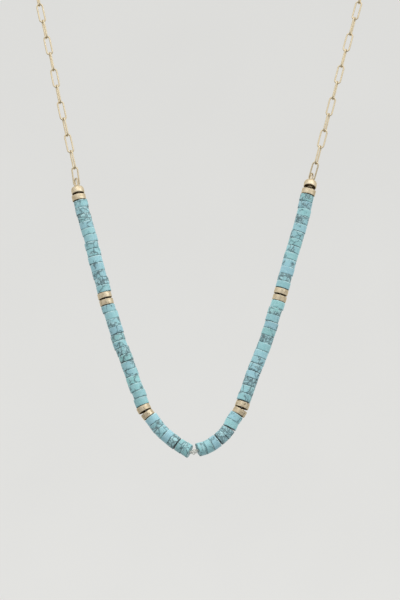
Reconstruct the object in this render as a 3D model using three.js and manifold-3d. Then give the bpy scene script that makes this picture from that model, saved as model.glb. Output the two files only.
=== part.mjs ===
// Gemstone link necklace: stone disc beads and gold spacer discs on a thread,
// continued by a gold paperclip chain that closes at the nape with a plain clasp.
//
// Units are millimetres. +Z is up and -Y is the front. The origin is the point at
// the nape where the loop rests on a neck: the inner side of the clasp.
// The loop is worn: the beaded V hangs in front, leaning back a little as it rises
// over the chest, and the chain goes up past both sides of the neck and meets behind.

import * as THREE from 'three';
import { mergeVertices } from 'three/addons/utils/BufferGeometryUtils.js';
import Module from 'manifold-3d';

const wasm = await Module();
wasm.setup();

// ---------------------------------------------------------------- sizes

const STONE_D = 4.0;          // stone disc, outside diameter
const STONE_T = 2.07;         // stone disc, thickness
const STONE_EDGE = 0.14;      // break of the disc's edges
const GROOVE_D = 3.3;         // depth shown between two discs

const GOLD_D = 4.0;           // spacer disc, outside diameter
const GOLD_T = 1.7;           // spacer disc, thickness
const GOLD_EDGE = 0.28;       // rounding of its rim
const GOLD_BORE_D = 1.15;     // its bore
const GAP = 0.27;             // play between neighbours on the thread

const THREAD_D = 0.5;         // beading thread
const THREAD_KINK = { left: 0.35, right: 0.4 };  // thread's ends, from the bottom of the V

const BEAD_D = 3.7;           // round end bead, widest
const BEAD_H = 2.3;           // round end bead, height
const BEAD_BORE_DEPTH = 1.1;  // blind bore that takes the thread's end
const BAIL_W = 1.9;           // tall soldered loop on the end bead, outside width
const BAIL_RISE = 2.7;        // top of that loop above the bead
const BAIL_SINK = 0.8;        // its feet inside the bead
const BAIL_WIRE_D = 0.42;     // its wire
const BAIL_SLACK = 0.51;      // the first link's lower end above the bead's top

const WIRE_D = 0.46;          // wire of links and of the clasp's eyes
const LINK_W = 2.2;           // link, outside width
const WELD = 0.1;             // how far joined links sink into each other
const LINK_PLAY = 0.3;        // clearance between separate solids of chain

const EYE_D = 2.2;            // eyes of the clasp, outside
const CLASP_D = 2.6;          // plain barrel clasp, diameter
const CLASP_L = 6.4;          // its barrel, without the two eyes

// lean of the chest that the front lies on: degrees at the bottom, at the top, and
// the height at which the top value is reached
const LEAN = { bottom: 5, top: 12, height: 80 };

// Stations of the two strands, from the top of the visible chain down to the bottom
// of the V: x across, z above the lowest point.
const LEFT_STRAND = [
  { at: 'chain at the collarbone', x: -48.8,  z: 139.7 },
  { at: 'chain, upper part',       x: -43.75, z: 117.4 },
  { at: 'chain, middle part',      x: -40.7,  z: 103.0 },
  { at: 'chain, lower part',       x: -38.55, z: 93.4 },
  { at: 'end bead',                x: -36.35, z: 83.9 },
  { at: 'upper run, top',          x: -35.3,  z: 77.8 },
  { at: 'upper run',               x: -34.35, z: 73.1 },
  { at: 'upper run',               x: -32.85, z: 67.3 },
  { at: 'upper run, bottom',       x: -31.3,  z: 62.1 },
  { at: 'upper spacers',           x: -29.9,  z: 56.4 },
  { at: 'middle run, top',         x: -28.25, z: 50.6 },
  { at: 'middle run',              x: -26.15, z: 43.0 },
  { at: 'middle run',              x: -23.75, z: 35.4 },
  { at: 'middle run, bottom',      x: -20.95, z: 27.7 },
  { at: 'lower spacers',           x: -18.0,  z: 19.8 },
  { at: 'lower spacers, below',    x: -15.85, z: 14.5 },
  { at: 'lower run, top',          x: -13.45, z: 11.1 },
  { at: 'lower run',               x: -10.75, z: 7.75 },
  { at: 'lower run, middle',       x: -7.0,   z: 4.72 },
  { at: 'lower run, end',          x: -4.5,   z: 3.0 },
  { at: 'last disc',               x: -2.95,  z: 2.05 },
  { at: 'bottom of the V',         x: -1.9,   z: 1.9 },
];
const RIGHT_STRAND = [
  { at: 'chain at the collarbone', x: 48.6,   z: 139.7 },
  { at: 'chain, upper part',       x: 42.3,   z: 117.5 },
  { at: 'chain, middle part',      x: 38.5,   z: 103.5 },
  { at: 'chain, lower part',       x: 36.0,   z: 94.1 },
  { at: 'end bead',                x: 33.45,  z: 84.6 },
  { at: 'upper run, top',          x: 32.1,   z: 79.5 },
  { at: 'upper run',               x: 30.8,   z: 74.3 },
  { at: 'upper run',               x: 29.0,   z: 67.3 },
  { at: 'upper run, bottom',       x: 27.4,   z: 61.9 },
  { at: 'upper spacers',           x: 25.8,   z: 56.4 },
  { at: 'middle run, top',         x: 24.15,  z: 50.6 },
  { at: 'middle run',              x: 21.9,   z: 43.1 },
  { at: 'middle run',              x: 19.2,   z: 34.9 },
  { at: 'middle run, bottom',      x: 16.5,   z: 27.6 },
  { at: 'lower spacers',           x: 14.0,   z: 20.8 },
  { at: 'lower spacers, below',    x: 11.6,   z: 14.5 },
  { at: 'lower run, top',          x: 9.5,    z: 11.2 },
  { at: 'lower run',               x: 7.6,    z: 7.7 },
  { at: 'lower run, middle',       x: 4.7,    z: 5.0 },
  { at: 'lower run, end',          x: 1.75,   z: 3.3 },
  { at: 'first disc',              x: -0.7,   z: 2.5 },
  { at: 'bottom of the V',         x: -1.9,   z: 1.9 },
];
// The rest of the loop, from the collarbone round the neck: one smooth bend a side.
const NAPE = { y: 96.0, z: 164.0 };          // where the two halves meet
const NECK_BEND = { rise: 33.0, back: 41.5 }; // handles at the collarbone and the nape

// Beaded runs, counted from the bottom of the V: discs, disc to disc along the thread
// on the left and on the right, and the spacer discs above.
const RUNS = [
  { name: 'lower',  count: 7,  left: 2.17, right: 2.26, spacers: 2 },
  { name: 'middle', count: 14, left: 2.17, right: 2.19, spacers: 2 },
  { name: 'upper',  count: 13, left: 2.12, right: 2.17, spacers: 1 },
];
const FIRST_BEAD = { left: 1.05, right: 1.4 };  // bare thread beside the bottom

// Links of chain a side: those in front, then those in each solid behind.
const CHAIN = { front: 11, back: [8, 7, 7] };
// turn about the chain, degrees, of alternate links and of the end bead's loop
const ROLL = {
  left:  { flat: 8,  edge: -68, bail: -54 },
  right: { flat: -8, edge: 68,  bail: 60 },
};

const EYE_REACH = (EYE_D - WIRE_D) / 2;         // eye centre to the middle of its wire
const CLASP_EYE = CLASP_L / 2 + EYE_REACH;      // clasp's middle to the centre of an eye

const STONE_SIDES = 14;
const GOLD_SIDES = 16;
const WIRE_SIDES = 6;
const LINK_STEPS = 10;

// ---------------------------------------------------------------- the route

// depth of the chest at a height, from its lean
function chestDepth(z) {
  const steps = 60;
  let y = 0;
  for (let i = 0; i < steps; i++) {
    const zi = (z * (i + 0.5)) / steps;
    const f = Math.min(1, Math.max(0, zi / LEAN.height));
    y += Math.tan(THREE.MathUtils.degToRad(LEAN.bottom + (LEAN.top - LEAN.bottom) * f)) * (z / steps);
  }
  return y;
}

function strandCurve(rows) {
  const points = rows.map((r) => new THREE.Vector3(r.x, chestDepth(r.z), r.z));
  return new THREE.CatmullRomCurve3(points, false, 'catmullrom', 0.5);
}

// from the top of a strand round the neck to the nape
function neckCurve(rows, side) {
  const [top, next] = rows.slice(0, 2).map((r) => new THREE.Vector3(r.x, chestDepth(r.z), r.z));
  const up = top.clone().sub(next).normalize();
  const nape = new THREE.Vector3(0, NAPE.y, NAPE.z);
  return new THREE.CubicBezierCurve3(
    top,
    top.clone().addScaledVector(up, NECK_BEND.rise),
    nape.clone().add(new THREE.Vector3(side * NECK_BEND.back, 0, 0)),
    nape,
  );
}

// One side of the loop as a fine polyline from the bottom of the V to the nape, with
// the distance along it and a frame that is carried along without twisting.
function makeSide(rows, side) {
  const up = strandCurve([...rows].reverse()).getPoints(600);
  const round = neckCurve(rows, side).getPoints(400).slice(1);
  const points = [...up, ...round];
  const length = [0];
  for (let i = 1; i < points.length; i++) length.push(length[i - 1] + points[i].distanceTo(points[i - 1]));
  const tangents = points.map((p, i) => {
    const a = points[Math.max(0, i - 1)];
    const b = points[Math.min(points.length - 1, i + 1)];
    return b.clone().sub(a).normalize();
  });
  const fronts = [];
  let front = new THREE.Vector3(0, -1, 0);
  for (const t of tangents) {
    front = front.clone().addScaledVector(t, -front.dot(t)).normalize();
    fronts.push(front);
  }
  return { points, length, tangents, fronts, total: length[length.length - 1] };
}

const SIDES = { left: makeSide(LEFT_STRAND, -1), right: makeSide(RIGHT_STRAND, 1) };
const ORIGIN = new THREE.Vector3(0, NAPE.y - CLASP_D / 2, NAPE.z);

// place at a distance from the bottom of the V: point, direction of travel and front
function placeAt(side, s) {
  const { points, length, tangents, fronts } = SIDES[side];
  let lo = 0;
  let hi = length.length - 1;
  while (hi - lo > 1) {
    const mid = (lo + hi) >> 1;
    if (length[mid] <= s) lo = mid; else hi = mid;
  }
  const f = (s - length[lo]) / (length[hi] - length[lo]);
  const point = points[lo].clone().lerp(points[hi], f).sub(ORIGIN);
  const along = tangents[lo].clone().lerp(tangents[hi], Math.min(1, Math.max(0, f))).normalize();
  const front = fronts[lo].clone().lerp(fronts[hi], Math.min(1, Math.max(0, f)));
  front.addScaledVector(along, -front.dot(along)).normalize();
  return { point, along, front };
}

// turn that takes a piece built about +Y (with +Z as its front) to a place on the route
function turnTo(along, front, rollDegrees = 0) {
  const x = new THREE.Vector3().crossVectors(along, front).normalize();
  const m = new THREE.Matrix4().makeBasis(x, along, front);
  const q = new THREE.Quaternion().setFromRotationMatrix(m);
  return q.multiply(new THREE.Quaternion().setFromAxisAngle(
    new THREE.Vector3(0, 1, 0), THREE.MathUtils.degToRad(rollDegrees)));
}

// ---------------------------------------------------------------- solids

function plain(geometry) {
  const g = geometry.index ? geometry.toNonIndexed() : geometry.clone();
  for (const name of Object.keys(g.attributes)) if (name !== 'position') g.deleteAttribute(name);
  return mergeVertices(g, 1e-4);
}

function toSolid(geometry) {
  const g = plain(geometry);
  return new wasm.Manifold(new wasm.Mesh({
    numProp: 3,
    vertProperties: new Float32Array(g.attributes.position.array),
    triVerts: new Uint32Array(g.index.array),
  }));
}

function fromSolid(solid) {
  const mesh = solid.getMesh();
  const g = new THREE.BufferGeometry();
  g.setAttribute('position', new THREE.BufferAttribute(new Float32Array(mesh.vertProperties), 3));
  g.setIndex(new THREE.BufferAttribute(new Uint32Array(mesh.triVerts), 1));
  return g;
}

// a turned piece about +Y, from [radius, height] pairs
function turned(profile, sides) {
  return new THREE.LatheGeometry(profile.map(([r, y]) => new THREE.Vector2(r, y)), sides);
}

// One run of stone discs on its thread: turned as a straight stack whose grooves part
// the discs, then laid along the route. Heights are distances along the route.
function beadRun(side, start, count, pitch, threadFrom, threadTo) {
  const profile = [[0, threadFrom], [THREAD_D / 2, threadFrom], [THREAD_D / 2, start]];
  for (let i = 0; i < count; i++) {
    const a = start + i * pitch;
    const b = a + STONE_T;
    if (i === 0) profile.push([STONE_D / 2 - STONE_EDGE, a]);
    else profile.push([GROOVE_D / 2, a - (pitch - STONE_T) / 2]);
    profile.push([STONE_D / 2, a + STONE_EDGE], [STONE_D / 2, b - STONE_EDGE]);
    if (i === count - 1) profile.push([STONE_D / 2 - STONE_EDGE, b]);
  }
  const end = start + (count - 1) * pitch + STONE_T;
  profile.push([THREAD_D / 2, end], [THREAD_D / 2, threadTo], [0, threadTo]);
  const g = plain(turned(profile, STONE_SIDES));
  const p = g.attributes.position;
  for (let i = 0; i < p.count; i++) {
    const { point, along, front } = placeAt(side, p.getY(i));
    const across = new THREE.Vector3().crossVectors(along, front);
    point.addScaledVector(across, p.getX(i)).addScaledVector(front, p.getZ(i));
    p.setXYZ(i, point.x, point.y, point.z);
  }
  return g;
}

function spacerDisc() {
  const r = GOLD_D / 2;
  const h = GOLD_T / 2;
  const b = GOLD_BORE_D / 2;
  return plain(turned([[b, -h], [r - GOLD_EDGE, -h], [r, -h + GOLD_EDGE], [r, h - GOLD_EDGE],
    [r - GOLD_EDGE, h], [b, h], [b, -h]], GOLD_SIDES));
}

// a long ring of round wire with straight sides, by its outside sizes, about its
// middle, its length along Y and its face towards Z
function longRing(width, length, wire) {
  const r = (width - wire) / 2 / Math.cos(Math.PI / LINK_STEPS / 2);
  const stretch = (length - wire) / 2 - r;
  const g = new THREE.TorusGeometry(r, wire / 2, WIRE_SIDES, LINK_STEPS);
  const p = g.attributes.position;
  for (let i = 0; i < p.count; i++) p.setX(i, p.getX(i) + Math.sign(p.getX(i)) * stretch);
  g.rotateZ(Math.PI / 2);
  return g;
}

// round end bead with its base at 0, a blind bore below and the soldered loop above
function endBead(roll) {
  const r = BEAD_D / 2;
  const b = GOLD_BORE_D / 2;
  const profile = [[0, BEAD_BORE_DEPTH], [b, BEAD_BORE_DEPTH], [b, 0], [r * 0.62, 0], [r * 0.9, BEAD_H * 0.16],
    [r, BEAD_H * 0.42], [r * 0.93, BEAD_H * 0.68], [r * 0.7, BEAD_H * 0.9], [r * 0.36, BEAD_H], [0, BEAD_H]];
  const bail = longRing(BAIL_W, BAIL_RISE + BAIL_SINK, BAIL_WIRE_D);
  bail.rotateY(THREE.MathUtils.degToRad(roll));
  bail.translate(0, BEAD_H + (BAIL_RISE - BAIL_SINK) / 2, 0);
  return fromSolid(toSolid(turned(profile, GOLD_SIDES)).add(toSolid(bail)));
}

// centre to centre of the two wires where links are joined, and where they hang free
const JOINED = WIRE_D - WELD;
const HOOKED = WIRE_D + LINK_PLAY;

// one link: its ends' wires are a pitch and a joint apart
const link = (pitch) => longRing(LINK_W, pitch + JOINED + WIRE_D, WIRE_D);

// links joined end to end from a distance along the route, each turned about the
// chain by the angle that rollOf gives for its number
function chainRun(side, start, pitch, first, count, rollOf) {
  let solid = null;
  for (let i = 0; i < count; i++) {
    const a = placeAt(side, start + i * pitch);
    const b = placeAt(side, start + (i + 1) * pitch);
    const middle = placeAt(side, start + (i + 0.5) * pitch);
    const along = b.point.clone().sub(a.point).normalize();
    const front = middle.front.clone().addScaledVector(along, -middle.front.dot(along)).normalize();
    const g = link(pitch);
    g.applyQuaternion(turnTo(along, front, rollOf(first + i)));
    g.translate(...a.point.clone().add(b.point).multiplyScalar(0.5).toArray());
    solid = solid ? solid.add(toSolid(g)) : toSolid(g);
  }
  return fromSolid(solid);
}

// plain barrel clasp along Y with an eye at each end, its eyes facing Z
function clasp() {
  const r = CLASP_D / 2;
  const h = CLASP_L / 2;
  const barrel = turned([[0, -h], [r * 0.55, -h], [r * 0.85, -h + 0.35], [r, -h + 0.9],
    [r, h - 0.9], [r * 0.85, h - 0.35], [r * 0.55, h], [0, h]], GOLD_SIDES);
  let solid = toSolid(barrel);
  for (const end of [-1, 1]) {
    const eye = new THREE.TorusGeometry((EYE_D - WIRE_D) / 2, WIRE_D / 2, WIRE_SIDES, 12);
    eye.translate(0, end * CLASP_EYE, 0);
    solid = solid.add(toSolid(eye));
  }
  return fromSolid(solid);
}

// ---------------------------------------------------------------- assembly

const group = new THREE.Group();

const stoneMaterial = () => new THREE.MeshStandardMaterial({ color: 0x86c4c8, roughness: 0.45, metalness: 0 });
const goldMaterial = () => new THREE.MeshStandardMaterial({ color: 0xd9bf8c, roughness: 0.3, metalness: 1 });
const chainMaterial = () => new THREE.MeshStandardMaterial({ color: 0xe2cf9f, roughness: 0.28, metalness: 1 });

function add(name, geometry, material) {
  const mesh = new THREE.Mesh(geometry, material);
  mesh.name = name;
  group.add(mesh);
  return mesh;
}

for (const side of ['left', 'right']) {
  let s = FIRST_BEAD[side];
  let threadFrom = THREAD_KINK[side];
  let spacer = 0;

  for (const run of RUNS) {
    const pitch = run[side];
    const end = s + (run.count - 1) * pitch + STONE_T;
    // the thread goes through the first spacer and stops short of the next solid
    const threadTo = end + GAP + GOLD_T + (run.spacers === 1 ? GAP + BEAD_BORE_DEPTH - 0.35 : -0.05);
    add(`beads_${side}_${run.name}`, beadRun(side, s, run.count, pitch, threadFrom, threadTo), stoneMaterial());
    threadFrom = threadTo + 0.37;
    s = end + GAP;
    for (let k = 0; k < run.spacers; k++) {
      spacer += 1;
      const { point, along, front } = placeAt(side, s + GOLD_T / 2);
      const disc = add(`gold_disc_${side}_${spacer}`, spacerDisc(), goldMaterial());
      disc.position.copy(point);
      disc.quaternion.copy(turnTo(along, front));
      s += GOLD_T + GAP;
    }
  }

  // end bead with its loop
  const base = placeAt(side, s);
  const bead = add(`end_bead_${side}`, endBead(ROLL[side].bail), goldMaterial());
  bead.position.copy(base.point);
  bead.quaternion.copy(turnTo(base.along, base.front));

  // chain: the first link is slack in the bead's loop, each further solid of chain
  // hooks into the one before, and the last link is in the clasp's eye
  const total = SIDES[side].total;
  const first = s + BEAD_H + BAIL_SLACK + JOINED / 2;
  const last = total - (CLASP_EYE + EYE_REACH) + HOOKED - JOINED / 2;
  const links = CHAIN.front + CHAIN.back.reduce((a, b) => a + b, 0);
  const seam = HOOKED - JOINED;
  const pitch = (last - first + CHAIN.back.length * seam) / links;

  // the last link lies level, so the chain gains that much twist behind the neck
  const end = placeAt(side, total - CLASP_EYE);
  const across = new THREE.Vector3().crossVectors(end.along, end.front);
  const level = THREE.MathUtils.radToDeg(Math.atan2(across.z, end.front.z));
  const { flat, edge } = ROLL[side];
  const parity = (links - 1) % 2 ? edge : flat;
  let twist = (level - parity) % 180;
  if (twist > 90) twist -= 180;
  if (twist < -90) twist += 180;
  const rollOf = (i) => (i % 2 ? edge : flat)
    + twist * Math.max(0, (i - CHAIN.front) / (links - 1 - CHAIN.front));

  add(`chain_${side}_front`, chainRun(side, first, pitch, 0, CHAIN.front, rollOf), chainMaterial());
  let at = first + CHAIN.front * pitch;
  let number = CHAIN.front;
  CHAIN.back.forEach((count, i) => {
    at -= seam;
    add(`chain_${side}_back_${i + 1}`, chainRun(side, at, pitch, number, count, rollOf), chainMaterial());
    at += count * pitch;
    number += count;
  });
}

// clasp at the nape, across the neck, its eyes upright
const fastener = add('clasp', clasp(), goldMaterial());
fastener.position.set(0, NAPE.y, NAPE.z).sub(ORIGIN);
fastener.quaternion.copy(turnTo(new THREE.Vector3(1, 0, 0), new THREE.Vector3(0, 1, 0)));

export default group;
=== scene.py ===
"""Looks of the gemstone link necklace: stone discs on twisted thread, gold spacer discs,
end beads with their loops, a paperclip chain and a barrel clasp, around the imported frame.

Lengths are millimetres until a mesh is made; Blender's own units are metres."""

import math

import bmesh
import bpy
import numpy as np
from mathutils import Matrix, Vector

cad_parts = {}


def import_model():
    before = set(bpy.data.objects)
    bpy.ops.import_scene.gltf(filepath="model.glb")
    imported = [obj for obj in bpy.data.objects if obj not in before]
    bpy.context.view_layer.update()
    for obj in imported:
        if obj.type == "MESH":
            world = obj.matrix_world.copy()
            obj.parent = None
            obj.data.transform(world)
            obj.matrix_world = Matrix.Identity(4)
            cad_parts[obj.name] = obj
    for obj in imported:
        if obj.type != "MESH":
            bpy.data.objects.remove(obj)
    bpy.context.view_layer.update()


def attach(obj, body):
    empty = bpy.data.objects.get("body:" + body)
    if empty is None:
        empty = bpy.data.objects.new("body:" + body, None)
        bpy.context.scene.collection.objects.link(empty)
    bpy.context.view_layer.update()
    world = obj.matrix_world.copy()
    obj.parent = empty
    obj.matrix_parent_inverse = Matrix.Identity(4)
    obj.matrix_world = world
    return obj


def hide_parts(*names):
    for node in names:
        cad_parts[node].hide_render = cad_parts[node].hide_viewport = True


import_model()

MM = 0.001

# ------------------------------------------------------------------ sizes, as in the CAD

STONE_D, STONE_T = 4.0, 2.07
STONE_BORE_D = 1.0
GOLD_D, GOLD_T, GOLD_BORE_D, GAP = 4.0, 1.7, 1.15, 0.27
BEAD_D, BEAD_H, BEAD_BORE_DEPTH = 3.7, 2.3, 1.1
BAIL_W, BAIL_RISE, BAIL_SINK, BAIL_WIRE_D, BAIL_SLACK = 1.9, 2.7, 0.8, 0.42, 0.51
WIRE_D, LINK_W, WELD, LINK_PLAY = 0.46, 2.2, 0.1, 0.3
EYE_D, CLASP_D, CLASP_L = 2.2, 2.6, 6.4
LEAN = {"bottom": 5, "top": 12, "height": 80}

# x across and z above the lowest point, from the top of the visible chain down
LEFT_STRAND = [
    (-48.8, 139.7), (-43.75, 117.4), (-40.7, 103.0), (-38.55, 93.4), (-36.35, 83.9), (-35.3, 77.8),
    (-34.35, 73.1), (-32.85, 67.3), (-31.3, 62.1), (-29.9, 56.4), (-28.25, 50.6), (-26.15, 43.0),
    (-23.75, 35.4), (-20.95, 27.7), (-18.0, 19.8), (-15.85, 14.5), (-13.45, 11.1), (-10.75, 7.75), (-7.0, 4.72),
    (-4.5, 3.0), (-2.95, 2.05), (-1.9, 1.9),
]
RIGHT_STRAND = [
    (48.6, 139.7), (42.3, 117.5), (38.5, 103.5), (36.0, 94.1), (33.45, 84.6), (32.1, 79.5), (30.8, 74.3),
    (29.0, 67.3), (27.4, 61.9), (25.8, 56.4), (24.15, 50.6), (21.9, 43.1), (19.2, 34.9), (16.5, 27.6),
    (14.0, 20.8), (11.6, 14.5), (9.5, 11.2), (7.6, 7.7), (4.7, 5.0), (1.75, 3.3), (-0.7, 2.5), (-1.9, 1.9),
]
NAPE = {"y": 96.0, "z": 164.0}
NECK_BEND = {"rise": 33.0, "back": 41.5}
# name, discs, disc to disc on the left and the right, spacers after it
RUNS = [
    ("lower", 7, {"left": 2.17, "right": 2.26}, 2),
    ("middle", 14, {"left": 2.17, "right": 2.19}, 2),
    ("upper", 13, {"left": 2.12, "right": 2.17}, 1),
]
FIRST_BEAD = {"left": 1.05, "right": 1.4}
CHAIN = {"front": 11, "back": [8, 7, 7]}
ROLL = {
    "left": {"flat": 8, "edge": -68, "bail": -54},
    "right": {"flat": -8, "edge": 68, "bail": 60},
}
EYE_REACH = (EYE_D - WIRE_D) / 2
CLASP_EYE = CLASP_L / 2 + EYE_REACH

# How much matrix each disc shows, from the bottom of the V up: . plain, - a vein or two, # a net
MATRIX = {
    "left": {"lower": "--#.--.", "middle": "..-.---#-#.-.-", "upper": ".#-..--..-##-"},
    "right": {"lower": "-..##..", "middle": "--#---..#.-.#.", "upper": ".#.-.---.#.--"},
}
# Discs that stand apart from the next one up the thread, and by how much
OPEN_GAPS = {
    ("left", "lower"): {1: 0.32},
    ("right", "lower"): {2: 0.30, 4: 0.34},
    ("left", "middle"): {5: 0.10, 9: 0.08},
    ("right", "middle"): {3: 0.09, 10: 0.08},
    ("left", "upper"): {4: 0.07},
    ("right", "upper"): {7: 0.08},
}

# How far the end discs of a run close up on the gold below and above them
SNUG = {
    "left": {"lower": (0.0, 0.10), "middle": (0.22, 0.14), "upper": (0.20, 0.12)},
    "right": {"lower": (0.0, 0.14), "middle": (-0.16, 0.14), "upper": (0.14, 0.12)},
}

# ------------------------------------------------------------------ the route


def chest_depth(z):
    steps = 60
    y = 0.0
    for i in range(steps):
        f = min(1.0, max(0.0, (z * (i + 0.5)) / steps / LEAN["height"]))
        y += math.tan(math.radians(LEAN["bottom"] + (LEAN["top"] - LEAN["bottom"]) * f)) * (z / steps)
    return y


def strand_points(rows, count=600):
    p = [np.array([x, chest_depth(z), z]) for x, z in rows]
    last = len(p) - 1
    out = []
    for k in range(count + 1):
        t = last * k / count
        i = int(math.floor(t))
        w = t - i
        if i == last:
            i, w = last - 1, 1.0
        p1, p2 = p[i], p[i + 1]
        p0 = p[i - 1] if i > 0 else 2 * p[0] - p[1]
        p3 = p[i + 2] if i + 2 <= last else 2 * p[last] - p[last - 1]
        t0, t1 = 0.5 * (p2 - p0), 0.5 * (p3 - p1)
        c2, c3 = -3 * p1 + 3 * p2 - 2 * t0 - t1, 2 * p1 - 2 * p2 + t0 + t1
        out.append(p1 + t0 * w + c2 * w * w + c3 * w**3)
    return out


def neck_points(rows, side, count=400):
    top, nxt = [np.array([x, chest_depth(z), z]) for x, z in rows[:2]]
    up = (top - nxt) / np.linalg.norm(top - nxt)
    nape = np.array([0.0, NAPE["y"], NAPE["z"]])
    a, b, c, d = top, top + up * NECK_BEND["rise"], nape + np.array([side * NECK_BEND["back"], 0, 0]), nape
    out = []
    for k in range(1, count + 1):
        t = k / count
        out.append((1 - t) ** 3 * a + 3 * (1 - t) ** 2 * t * b + 3 * (1 - t) * t * t * c + t**3 * d)
    return out


ORIGIN = np.array([0.0, NAPE["y"] - CLASP_D / 2, NAPE["z"]])


def unit(v):
    return v / np.linalg.norm(v)


class Side:
    """One side of the loop: places by distance from the bottom of the V."""

    def __init__(self, rows, side):
        pts = np.array(strand_points(rows[::-1]) + neck_points(rows, side))
        self.length = np.concatenate([[0], np.cumsum(np.linalg.norm(np.diff(pts, axis=0), axis=1))])
        self.points = pts - ORIGIN
        a = pts[np.minimum(np.arange(len(pts)) + 1, len(pts) - 1)]
        b = pts[np.maximum(np.arange(len(pts)) - 1, 0)]
        self.tangents = (a - b) / np.linalg.norm(a - b, axis=1)[:, None]
        fronts, f = [], np.array([0.0, -1.0, 0.0])
        for t in self.tangents:
            f = unit(f - f.dot(t) * t)
            fronts.append(f)
        self.fronts = np.array(fronts)
        self.total = self.length[-1]

    def at(self, s):
        lo = int(np.clip(np.searchsorted(self.length, s, side="right") - 1, 0, len(self.length) - 2))
        f = (s - self.length[lo]) / (self.length[lo + 1] - self.length[lo])
        point = self.points[lo] * (1 - f) + self.points[lo + 1] * f
        g = min(1.0, max(0.0, f))
        along = unit(self.tangents[lo] * (1 - g) + self.tangents[lo + 1] * g)
        front = self.fronts[lo] * (1 - g) + self.fronts[lo + 1] * g
        return point, along, unit(front - front.dot(along) * along)


SIDES = {"left": Side(LEFT_STRAND, -1), "right": Side(RIGHT_STRAND, 1)}


def basis(along, front, roll=0.0):
    """Rotation that takes local +Y along the route and local +Z to the front, turned by roll degrees."""
    x = unit(np.cross(along, front))
    m = np.stack([x, along, front], axis=1)
    c, s = math.cos(math.radians(roll)), math.sin(math.radians(roll))
    return m @ np.array([[c, 0, s], [0, 1, 0], [-s, 0, c]])


def tilt(rng, degrees):
    """A small random turn of the piece off the thread."""
    a, b = np.radians(rng.uniform(-degrees, degrees, 2))
    ra = np.array([[1, 0, 0], [0, math.cos(a), -math.sin(a)], [0, math.sin(a), math.cos(a)]])
    rb = np.array([[math.cos(b), -math.sin(b), 0], [math.sin(b), math.cos(b), 0], [0, 0, 1]])
    return ra @ rb


# ------------------------------------------------------------------ mesh building


class Builder:
    """Collects closed shells given as rings of points, with values for each point."""

    def __init__(self):
        self.verts, self.faces, self.values, self.count = [], [], {}, 0

    def value(self, name, array):
        self.values.setdefault(name, []).append(np.asarray(array, float))

    def loft(self, rings, wrap=False, poles=False):
        """rings is (R, S, 3), each ring closed. wrap joins the last ring to the first. With
        poles, the first and last rings are single points."""
        r, s = rings.shape[:2]
        if not poles:
            flat = rings.reshape(-1, 3)
            idx = np.arange(r * s).reshape(r, s) + self.count
            quads = []
            for j in range(r if wrap else r - 1):
                a, b = idx[j], idx[(j + 1) % r]
                quads += list(zip(a, np.roll(a, -1), np.roll(b, -1), b))
            self.faces += quads
        else:
            flat = np.concatenate([rings[0, :1], rings[1:-1].reshape(-1, 3), rings[-1, :1]])
            idx = np.arange((r - 2) * s).reshape(r - 2, s) + self.count + 1
            first, last = self.count, self.count + 1 + (r - 2) * s
            for j in range(r - 3):
                a, b = idx[j], idx[j + 1]
                self.faces += list(zip(a, np.roll(a, -1), np.roll(b, -1), b))
            self.faces += [(first, q, p) for p, q in zip(idx[0], np.roll(idx[0], -1))]
            self.faces += [(last, p, q) for p, q in zip(idx[-1], np.roll(idx[-1], -1))]
        self.verts.append(flat)
        self.count += len(flat)
        return flat

    def make(self, name, material, slot, replaces=()):
        verts = np.concatenate(self.verts) * MM
        mesh = bpy.data.meshes.new(name)
        mesh.from_pydata(verts.tolist(), [], [tuple(int(i) for i in f) for f in self.faces])
        for key, parts in self.values.items():
            data = np.concatenate(parts)
            kind = "FLOAT_VECTOR" if data.ndim == 2 else "FLOAT"
            attribute = mesh.attributes.new(key, kind, "POINT")
            attribute.data.foreach_set("vector" if data.ndim == 2 else "value", data.astype(np.float32).ravel())
        bm = bmesh.new()
        bm.from_mesh(mesh)
        bmesh.ops.recalc_face_normals(bm, faces=bm.faces)
        bm.to_mesh(mesh)
        bm.free()
        mesh.polygons.foreach_set("use_smooth", [True] * len(mesh.polygons))
        mesh.update()
        obj = bpy.data.objects.new(name, mesh)
        bpy.context.scene.collection.objects.link(obj)
        mesh.materials.append(material)
        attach(obj, "root")
        if replaces:
            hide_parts(*replaces)
        return obj


def arc(cx, cy, r, a0, a1, n):
    """Points of an arc in a profile, without its first one."""
    return [
        (cx + r * math.cos(math.radians(a0 + (a1 - a0) * k / n)), cy + r * math.sin(math.radians(a0 + (a1 - a0) * k / n)))
        for k in range(1, n + 1)
    ]


def turned(profile, sides):
    """Rings about local +Y from [radius, height] pairs."""
    t = np.arange(sides) * 2 * math.pi / sides
    return np.array([[(r * math.cos(a), h, r * math.sin(a)) for a in t] for r, h in profile])


# ------------------------------------------------------------------ materials


def shader(name):
    m = bpy.data.materials.new(name)
    m.use_nodes = True
    nt = m.node_tree
    nt.nodes.clear()
    out = nt.nodes.new("ShaderNodeOutputMaterial")
    bsdf = nt.nodes.new("ShaderNodeBsdfPrincipled")
    nt.links.new(bsdf.outputs["BSDF"], out.inputs["Surface"])
    return m, nt, bsdf


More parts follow.
